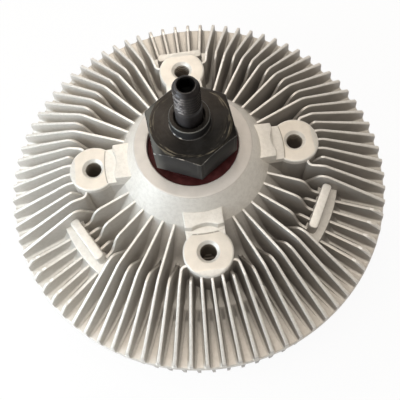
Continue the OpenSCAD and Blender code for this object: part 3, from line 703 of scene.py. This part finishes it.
    def fin_kind(self, i):
        """Kind of a fin, from its angle to the nearest pad and boss."""
        angle = FIN_PITCH * i
        off = nearest(angle, BOSS_COUNT, 0)
        at_boss = off < 15
        if nearest(angle, PAD_COUNT, PAD_START) < PAD_SPREAD:
            return "stub" if i % 2 == 0 else "low" if at_boss else "swan"
        if at_boss:
            return "behind" if off < 6 else "beside" if off < 12 else "hook"
        return "long" if i % 2 else "short"

    def fins(self, bm, size, ground):
        """Eighty fins of the kinds that their places call for."""
        crest = size.boss_z - 0.002
        for kind, path in self.fin_paths(size, crest).items():
            chain = rounded(path, 6, closed=False)
            angles = [FIN_PITCH * i for i in range(FIN_COUNT) if self.fin_kind(i) == kind]
            if kind != "hook":
                add_turned_copies(bm, fin_shell(chain, ground, crest, size), angles)
                continue
            for way in (-1, 1):
                fin = fin_shell(chain, ground, crest, size)
                self.hook(fin, way)
                add_turned_copies(bm, fin, [a for a in angles if ((a + 45) % 90 > 45) == (way < 0)])

    def hook(self, fin, way):
        """Bends the inner end of a fin towards the boss beside it."""
        start, radius = 0.0500, 0.0022
        for vert in fin.verts:
            run, across = start - vert.co.x, vert.co.y
            if run > 0:
                turn = min(run / radius, pi / 2)
                rest = run - turn * radius
                vert.co.x = start - radius * sin(turn) - rest * cos(turn) + across * way * sin(turn)
                vert.co.y = way * (radius * (1 - cos(turn)) + rest * sin(turn)) + across * cos(turn)

    def boss(self, bm, size, lip):
        """Tapped boss with a turned face, and the stepped web, with a low lip, that joins it to the hub."""
        top, low, pcr = size.boss_z, size.rim_z + 0.001, size.boss_pcr
        wide = size.boss_r + (top - low) * tan(radians(1.5))
        chamfer, fall = 0.0012, 0.32
        outline = rounded([
            (0, top - 0.018, 0), (size.hole_r, top - 0.017, 0), (size.hole_r, top - chamfer, 0),
            (size.hole_r + chamfer, top, 0.0003), (0.0065, top, 0), (0.0082, top, 0), (size.boss_r, top, 0.0007),
            (wide, low, 0), (0, low, 0)], 4)
        turned(bm, outline, 72, (pcr, 0, 0))
        bmesh.ops.bisect_plane(bm, geom=everything(bm), dist=1e-7, plane_co=(size.boss_slope, 0, 0),
                               plane_no=(1, 0, 0))
        for vert in bm.verts:
            if vert.co.x > size.boss_slope and vert.co.z > top - 0.002:
                vert.co.z -= (vert.co.x - size.boss_slope) * fall
        half, inner, scallop, step_r = size.web_w / 2, 0.022, 0.0104, 0.0343

        def arc(radius):
            reach = asin(half / radius) / 20
            return [(radius * cos(reach * k), radius * sin(reach * k)) for k in range(-20, 21)]

        step = [(min(x, pcr - sqrt(max(scallop ** 2 - y ** 2, 0))), y) for x, y in arc(step_r)]
        end = pcr - sqrt(size.boss_r ** 2 - half ** 2) + 0.0006
        for edge, high, curve in ((step, top + 0.004, 0.0007), (arc(lip), top + 0.0003, 0.00015),
                                  ([(end, -half), (end, half)], top - 0.00003, 0.0002)):
            block = bmesh.new()
            raised(block, [(inner, -half - 0.0004), *edge, (inner, half + 0.0004)], low, high)
            for vert in block.verts:
                if vert.co.z < low + 1e-6:
                    vert.co.y *= 1.1
            soften(block, sharp_edges(block, 40, lambda e: lowest(e) > high - 1e-6), curve)
            add_turned_copies(bm, block, [0])

    def pad(self, bm, size, angle):
        """Ledge with a hollow outer slope between two whole fins, carrying a straight bar."""
        base, ledge, bar = size.rim_z - 0.0005, 0.0488, 0.0558
        inner, hollow_r = size.pad_r - 0.0023, 0.0623
        deep = ledge - size.rim_z
        foot = hollow_r + deep
        hollow = [(foot - deep * cos(radians(10 * k)), ledge - deep * sin(radians(10 * k))) for k in range(10)]
        outline = [(inner, base), (inner, ledge), *hollow, (foot, base)]
        face = bm.faces.new([bm.verts.new((r, 0, z)) for r, z in outline])
        first = floor((angle - PAD_SPREAD) / FIN_PITCH) * FIN_PITCH
        last = ceil((angle + PAD_SPREAD) / FIN_PITCH) * FIN_PITCH
        bmesh.ops.transform(bm, matrix=turn_about_shaft(first), verts=bm.verts)
        bmesh.ops.spin(bm, geom=[face], cent=(0, 0, 0), axis=(0, 0, 1), angle=radians(last - first), steps=24)
        soften(bm, sharp_edges(bm, 50, lambda e: lowest(e) > ledge - 0.004), 0.0006)
        block = bmesh.new()
        half_w, half_l, corner = 0.002, 0.0105, 0.0015
        raised(block, rounded([(size.pad_r + x * half_w, y * half_l, corner)
                               for x, y in ((-1, -1), (1, -1), (1, 1), (-1, 1))], 8), size.floor_z, bar)
        soften(block, sharp_edges(block, 50, lambda e: lowest(e) > bar - 1e-6), 0.0007)
        add_turned_copies(bm, block, [angle])


class CLUTCH_OT_front_casting(bpy.types.Operator):
    """Finned front cover with the recess for the bimetal coil"""
    bl_idname = "clutch.front_casting"
    bl_label = "Front casting"

    def execute(self, context):
        size = context.scene.clutch_casting
        bm = bmesh.new()
        face = [(0.05, 0.013), (0.061, 0.0225), (0.066, size.flange_z)]
        turned(bm, self.wall(size, face), 192)
        out, top, offset = size.rim_r - 0.0008, 0.0246, 1.3
        ground = [(r, -z) for r, z in ((0.0, face[0][1]), *face, (0.079, top), (0.086, top))]
        chain = rounded([(0.031, -0.0165, 0), (0.031, -0.0025, 0.001), (0.0345, 0, 0.003), (out - 0.012, 0, 0.006),
                         (out, -0.009, 0.001), (out, -top, 0)], 5, closed=False)
        fin = fin_shell(chain, lambda r, crest: min(height_at(ground, r), crest - 0.0004), 0.0, size)
        bmesh.ops.rotate(fin, verts=fin.verts, cent=(0, 0, 0), matrix=Matrix.Rotation(pi, 3, "X"))
        add_turned_copies(bm, fin, [FIN_PITCH * i + offset for i in range(FIN_COUNT)])
        material = blasted_aluminium("blasted_front", context.scene.clutch_finishes, False)
        finished(bm, "front_casting", [material], "housing", ["front_cover"])
        return {"FINISHED"}

    def wall(self, size, face):
        """Turned outline of the cover, with its seal groove, pump plate seat and fluid store."""
        hole, neck_r, neck_z = 0.00305, 0.008, 0.0108
        flange_r = size.cover_r - 0.00005
        groove_out, groove_in, groove_z = 0.0664, 0.0638, 0.03
        plate_r, plate_z = 0.05305, 0.0255
        store_r, store_z, seal_r = 0.044, 0.0175, 0.0046
        (face_r, face_z), (bend_r, bend_z), (step_r, step_z) = face
        return rounded([
            (hole, neck_z, 0.0003), (neck_r, neck_z, 0.0006), (neck_r, face_z, 0.0008), (face_r, face_z, 0.003),
            (bend_r, bend_z, 0.004), (step_r, step_z, 0), (flange_r, size.flange_z, 0),
            (flange_r, size.cover_z, 0), (groove_out, size.cover_z, 0), (groove_out, groove_z, 0),
            (groove_in, groove_z, 0), (groove_in, size.cover_z, 0), (size.chamber_r, size.cover_z, 0),
            (size.chamber_r, size.flange_z, 0), (plate_r, size.flange_z, 0), (plate_r, plate_z, 0),
            (store_r, plate_z, 0), (store_r, store_z, 0), (seal_r, store_z, 0), (hole, store_z, 0)], 5)


class CLUTCH_OT_drive_shaft(bpy.types.Operator):
    """Input shaft with its hexagon, collar and bearing journal"""
    bl_idname = "clutch.drive_shaft"
    bl_label = "Drive shaft"

    def execute(self, context):
        size = context.scene.clutch_shaft
        tints = context.scene.clutch_finishes
        oxide, worn, rubbed = range(3)
        bm = bmesh.new()
        blank, flat = 0.02, size.hex_af / 2
        circle, steep = flat - 0.0006, 2.1447
        low, high, top = size.hex_z, size.hex_top, size.collar_z
        turned(bm, self.outline(size, context.scene.clutch_casting, circle, blank), 192, closed=False)
        bmesh.ops.remove_doubles(bm, verts=bm.verts, dist=1e-7)
        for vert in bm.verts:
            if abs(hypot(vert.co.x, vert.co.y) - blank) < 1e-5:
                reach = pull_to_hexagon(vert, flat)
                if vert.co.z > (low + high) / 2:
                    vert.co.z = high - (reach - circle) / steep
        edges = sharp_edges(bm, 24, lambda e: min(hypot(v.co.x, v.co.y) for v in e.verts) > 0.0145)
        for face in soften(bm, edges, 0.00025):
            face.material_index = worn
        bmesh.ops.transform(bm, matrix=turn_about_shaft(35), verts=bm.verts)
        # The collar's rim takes the rubbed finish; its foot fillet takes the worn edge finish, whose rub at the
        # left paints its glint
        for face in bm.faces:
            mid = face.calc_center_median()
            off = hypot(mid.x, mid.y) - size.collar_r
            lip = mid.z > top - 0.0004 and -0.0003 < off
            foot = 0.00003 < off < 0.0004 and high < mid.z < high + 0.0004
            if (lip or foot) and face.normal.z < 0.99:
                face.material_index = rubbed if lip else worn
        materials = [black_oxide(tints), worn_and_lit_edge(tints), metal("rubbed_collar", tints.rubbed, 0.26, 0.7)]
        finished(bm, "drive_shaft", materials, "shaft", ["input_shaft"], 20)
        return {"FINISHED"}

    def outline(self, size, casting, circle, blank):
        """Turned outline from the lower end to the stud's hole, with a round blank for the hexagon."""
        end_r, lock_r = 0.008, 0.0068
        end, lock, lock_top = 0.0282, 0.0292, 0.0302
        foot, face = casting.bearing_z, casting.bearing_top
        low, high, top = size.hex_z, size.hex_top, size.collar_z
        chamfer, curve = 0.0004, 0.0004
        made = [Vector(p) for p in (
            (0, end), (end_r - chamfer, end), (end_r, end + chamfer), (end_r, lock),
            (lock_r, lock), (lock_r, lock_top), (end_r, lock_top), (end_r, foot),
            (size.journal_r, foot), (size.journal_r, face), (size.shoulder_r, face), (size.shoulder_r, low),
            (size.hex_af / 2 - 0.001, low), (blank, low), (blank, high), (circle, high))]
        recess = top - 0.0035
        made += rounded([(circle, high, 0), (size.collar_r, high, curve), (size.collar_r, top, curve),
                         (size.recess_r, top, curve), (size.recess_r, recess, 0.0003), (size.shank_r, recess, 0),
                         (size.shank_r, size.stud_z, 0), (0, size.stud_z - 0.0007, 0)], 6, closed=False)[1:]
        return made


class CLUTCH_OT_threaded_stud(bpy.types.Operator):
    """Drive stud with a plain shank, a thread and a hexagon socket"""
    bl_idname = "clutch.threaded_stud"
    bl_label = "Threaded stud"

    def execute(self, context):
        size = context.scene.clutch_shaft
        tints = context.scene.clutch_finishes
        bm = bmesh.new()
        top, foot, start = size.stud_top, size.stud_z, size.thread_z
        root = size.stud_r - 0.00085
        self.thread(bm, size, root)
        socket, blank, core, tip_r = 0.0025, 0.03, root - 0.0001, 0.00365
        outline = rounded([(0, foot, 0), (size.shank_r - 0.0005, foot, 0), (size.shank_r, foot + 0.0007, 0),
                           (size.shank_r, start - 0.0012, 0.004), (core, start + 0.0006, 0)], 4, closed=False)
        outline += [Vector(p) for p in ((core, top - 0.0003), (tip_r, top), (socket + 0.0007, top),
                                        (blank, top - 0.0004), (blank, top - 0.005), (0, top - 0.0062))]
        turned(bm, outline, 96, closed=False)
        for vert in bm.verts:
            if hypot(vert.co.x, vert.co.y) > blank - 0.001:
                pull_to_hexagon(vert, socket)
        # Painted shade: the socket's walls and floor take a near-black finish for the shade inside it
        for face in bm.faces:
            mid = face.calc_center_median()
            if hypot(mid.x, mid.y) < socket + 0.0006 and top - 0.01 < mid.z < top - 0.00003:
                face.material_index = 1
        materials = [phosphate(tints, top), metal("shadowed_socket", (0.002, 0.002, 0.002), 0.5, 0.1, shine=0.02)]
        finished(bm, "threaded_stud", materials, "shaft", ["drive_stud"], 40)
        return {"FINISHED"}

    def thread(self, bm, size, root):
        """Helix of the thread, cut off at both ends and chamfered at the tip."""
        top, start, pitch = size.stud_top, size.thread_z, size.pitch
        steps, turns = 48, int((top - start) / pitch) + 2
        tooth = [(root, 0), (root, pitch * 0.12), (size.stud_r, pitch * 0.46), (size.stud_r, pitch * 0.60),
                 (root, pitch * 0.94), (root, pitch)]
        verts = [bm.verts.new((r, 0, start - pitch * 1.5 + z)) for r, z in tooth]
        edges = [bm.edges.new(pair) for pair in zip(verts, verts[1:])]
        bmesh.ops.spin(bm, geom=verts + edges, cent=(0, 0, 0), axis=(0, 0, 1), dvec=(0, 0, pitch / steps),
                       angle=tau * turns, steps=steps * turns)
        bmesh.ops.remove_doubles(bm, verts=bm.verts, dist=1e-6)
        for height, way in ((top - 0.00005, 1), (start - 0.0008, -1)):
            bmesh.ops.bisect_plane(bm, geom=everything(bm), dist=1e-8, plane_co=(0, 0, height),
                                   plane_no=(0, 0, way), clear_outer=True)
        chamfer = 0.0012
        for vert in bm.verts:
            r = hypot(vert.co.x, vert.co.y)
            limit = size.stud_r - chamfer + (top - vert.co.z)
            if r > limit:
                vert.co.x *= limit / r
                vert.co.y *= limit / r


class CLUTCH_OT_lip_seals(bpy.types.Operator):
    """Red rubber seals on both sides of the bearing"""
    bl_idname = "clutch.lip_seals"
    bl_label = "Bearing seals"

    def execute(self, context):
        red = rubber("seal_rubber", context.scene.clutch_finishes.seal)
        for name, node, way in (("rear_lip_seal", "bearing_seal_rear", 1),
                                ("front_lip_seal", "bearing_seal_front", -1)):
            low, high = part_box(node)
            face, back = (high.z, low.z) if way > 0 else (low.z, high.z)
            outer, inner, sunk = high.x, 0.01253, face - way * 0.0003
            bm = bmesh.new()
            turned(bm, [(inner, back), (inner, sunk), (inner + 0.0004, face), (inner + 0.0013, face),
                        (inner + 0.0016, sunk), (outer - 0.0014, sunk), (outer - 0.0011, face),
                        (outer - 0.0003, face), (outer, sunk), (outer, back)], 128)
            finished(bm, name, [red], "housing", [node])
        return {"FINISHED"}


class CLUTCH_OT_inner_parts(bpy.types.Operator):
    """Finishes of the bearing, rotor, pump plate, valve and coil"""
    bl_idname = "clutch.inner_parts"
    bl_label = "Inner parts"

    def execute(self, context):
        finishes = {
            metal("ground_steel", (0.60, 0.60, 0.61), 0.18):
                ["bearing_outer_ring", "bearing_inner_ring", "bearing_balls"],
            metal("oiled_spring_steel", (0.22, 0.22, 0.23), 0.28): ["bearing_retaining_ring", "rotor_lock_ring"],
            metal("zinc_plate", (0.62, 0.63, 0.64), 0.26):
                ["pump_plate", "pump_plate_screws", "valve_shaft", "valve_arm", "coil_clip"],
            metal("turned_rotor", (0.76, 0.75, 0.74), 0.28, 0.7, 0.5): ["rotor"],
            metal("pressed_brass", (0.60, 0.44, 0.18), 0.26): ["bearing_cage"],
            metal("bimetal_strip", (0.50, 0.42, 0.28), 0.30): ["bimetal_coil"],
            rubber("black_rubber", (0.03, 0.03, 0.03)): ["cover_seal", "valve_shaft_seal"],
            moulded_plastic("moulded_wiper", (0.74, 0.69, 0.57), (0.66, 0.61, 0.50)): ["wiper_blocks"],
        }
        for material, nodes in finishes.items():
            for node in nodes:
                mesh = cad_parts[node].data
                mesh.materials.clear()
                mesh.materials.append(material)
        return {"FINISHED"}


class CLUTCH_OT_stage(bpy.types.Operator):
    """Camera, soft light and a pale floor"""
    bl_idname = "clutch.stage"
    bl_label = "Stage"

    def execute(self, context):
        scene = context.scene
        stage = scene.clutch_stage
        scene.view_settings.view_transform = "Standard"
        self.camera(scene, stage)
        self.lights(scene, stage)
        self.floor(scene, stage)
        return {"FINISHED"}

    def camera(self, scene, stage):
        """Camera at the place and turn from which the part is shown."""
        camera = bpy.data.objects.new("camera", bpy.data.cameras.new("camera"))
        camera.data.lens = stage.lens
        camera.data.sensor_width = 36
        camera.data.clip_start = 0.01
        eye = Vector((-0.0023, -0.10329, 0.26462))
        right = Vector((0.989844, -0.134795, -0.04515))
        down = Vector((-0.141863, -0.916319, -0.37448))
        ahead = Vector((0.009106, 0.377082, -0.926135))
        turn = Matrix((right, -down, -ahead)).transposed().to_4x4()
        camera.matrix_world = Matrix.Translation(eye) @ turn
        scene.collection.objects.link(camera)
        scene.camera = camera

    def lights(self, scene, stage):
        """Four round soft lamps turned to the clutch, and an even light around it."""
        aim = Vector((0, 0, 0.05))
        for name, place, size, power, tint in (
                ("key_light", (-0.30, -0.10, 0.19), 0.26, stage.key, (0.80, 0.91, 1.0)),
                ("top_light", (-0.12, -0.15, 0.95), 0.8, stage.top, (1.0, 0.93, 0.84)),
                ("back_light", (-0.10, 0.60, 0.55), 0.45, stage.back, (1.0, 0.92, 0.82)),
                ("fill_light", (0.60, -0.15, 0.45), 0.5, stage.fill, (1.0, 0.88, 0.72))):
            lamp = bpy.data.objects.new(name, bpy.data.lights.new(name, "AREA"))
            lamp.data.shape = "DISK"
            lamp.data.size = size
            lamp.data.energy = power
            lamp.data.color = tint
            lamp.location = place
            lamp.rotation_euler = (aim - Vector(place)).to_track_quat("-Z", "Y").to_euler()
            scene.collection.objects.link(lamp)
        scene.world = bpy.data.worlds.new("studio")
        scene.world.use_nodes = True
        around = scene.world.node_tree.nodes["Background"].inputs
        around["Color"].default_value = (1, 0.96, 0.90, 1)
        around["Strength"].default_value = stage.ambient

    def floor(self, scene, stage):
        """Wide floor just below the fins on which the clutch stands."""
        reach, gap = 3, 0.0003
        bm = bmesh.new()
        bmesh.ops.create_grid(bm, x_segments=2, y_segments=2, size=reach)
        bmesh.ops.translate(bm, verts=bm.verts, vec=(0, 0, -gap))
        mesh = bpy.data.meshes.new("floor")
        bm.to_mesh(mesh)
        bm.free()
        mesh.materials.append(self.floor_material(stage))
        floor = bpy.data.objects.new("floor", mesh)
        scene.collection.objects.link(floor)

    def floor_material(self, stage):
        """Pale floor that reads as white where it is seen, and keeps the shadow."""
        pale = Finish("pale_floor")
        material = pale.set(Base_Color=(*stage.floor, 1), Roughness=0.9)
        seen = pale.place.node("ShaderNodeLightPath")
        rays = seen.socket.node.outputs
        for name in ("Is Glossy Ray", "Is Transmission Ray"):
            seen = seen.at_least(Val(pale.tree, rays[name]))
        white = pale.place.node("ShaderNodeEmission", {}, {"Color": (1, 1, 1, 1), "Strength": 1.0})
        both = pale.place.node("ShaderNodeMixShader", {},
                               {0: seen * 0.93, 1: Val(pale.tree, pale.shader.outputs[0]), 2: white})
        pale.tree.links.new(both.socket, pale.tree.nodes["Material Output"].inputs["Surface"])
        return material


OPERATORS = (CLUTCH_OT_rear_casting, CLUTCH_OT_front_casting, CLUTCH_OT_drive_shaft, CLUTCH_OT_threaded_stud,
             CLUTCH_OT_lip_seals, CLUTCH_OT_inner_parts, CLUTCH_OT_stage)


class CLUTCH_PT_panel(bpy.types.Panel):
    """Sidebar panel with the pieces of the clutch"""
    bl_idname = "CLUTCH_PT_panel"
    bl_label = "Fan clutch"
    bl_space_type = "VIEW_3D"
    bl_region_type = "UI"
    bl_category = "Fan clutch"

    def draw(self, context):
        for operator in OPERATORS:
            self.layout.operator(operator.bl_idname)


GROUPS = {"clutch_casting": CastingSizes, "clutch_shaft": ShaftSizes, "clutch_finishes": FinishColours,
          "clutch_stage": StageValues}


def register():
    for kind in (*GROUPS.values(), *OPERATORS, CLUTCH_PT_panel):
        bpy.utils.register_class(kind)
    for name, kind in GROUPS.items():
        setattr(bpy.types.Scene, name, bpy.props.PointerProperty(type=kind))


def unregister():
    for name in GROUPS:
        delattr(bpy.types.Scene, name)
    for kind in (CLUTCH_PT_panel, *reversed(OPERATORS), *GROUPS.values()):
        bpy.utils.unregister_class(kind)


def main():
    register()
    bpy.ops.clutch.rear_casting()
    bpy.ops.clutch.front_casting()
    bpy.ops.clutch.drive_shaft()
    bpy.ops.clutch.threaded_stud()
    bpy.ops.clutch.lip_seals()
    bpy.ops.clutch.inner_parts()
    bpy.ops.clutch.stage()


if __name__ == "__main__":
    main()
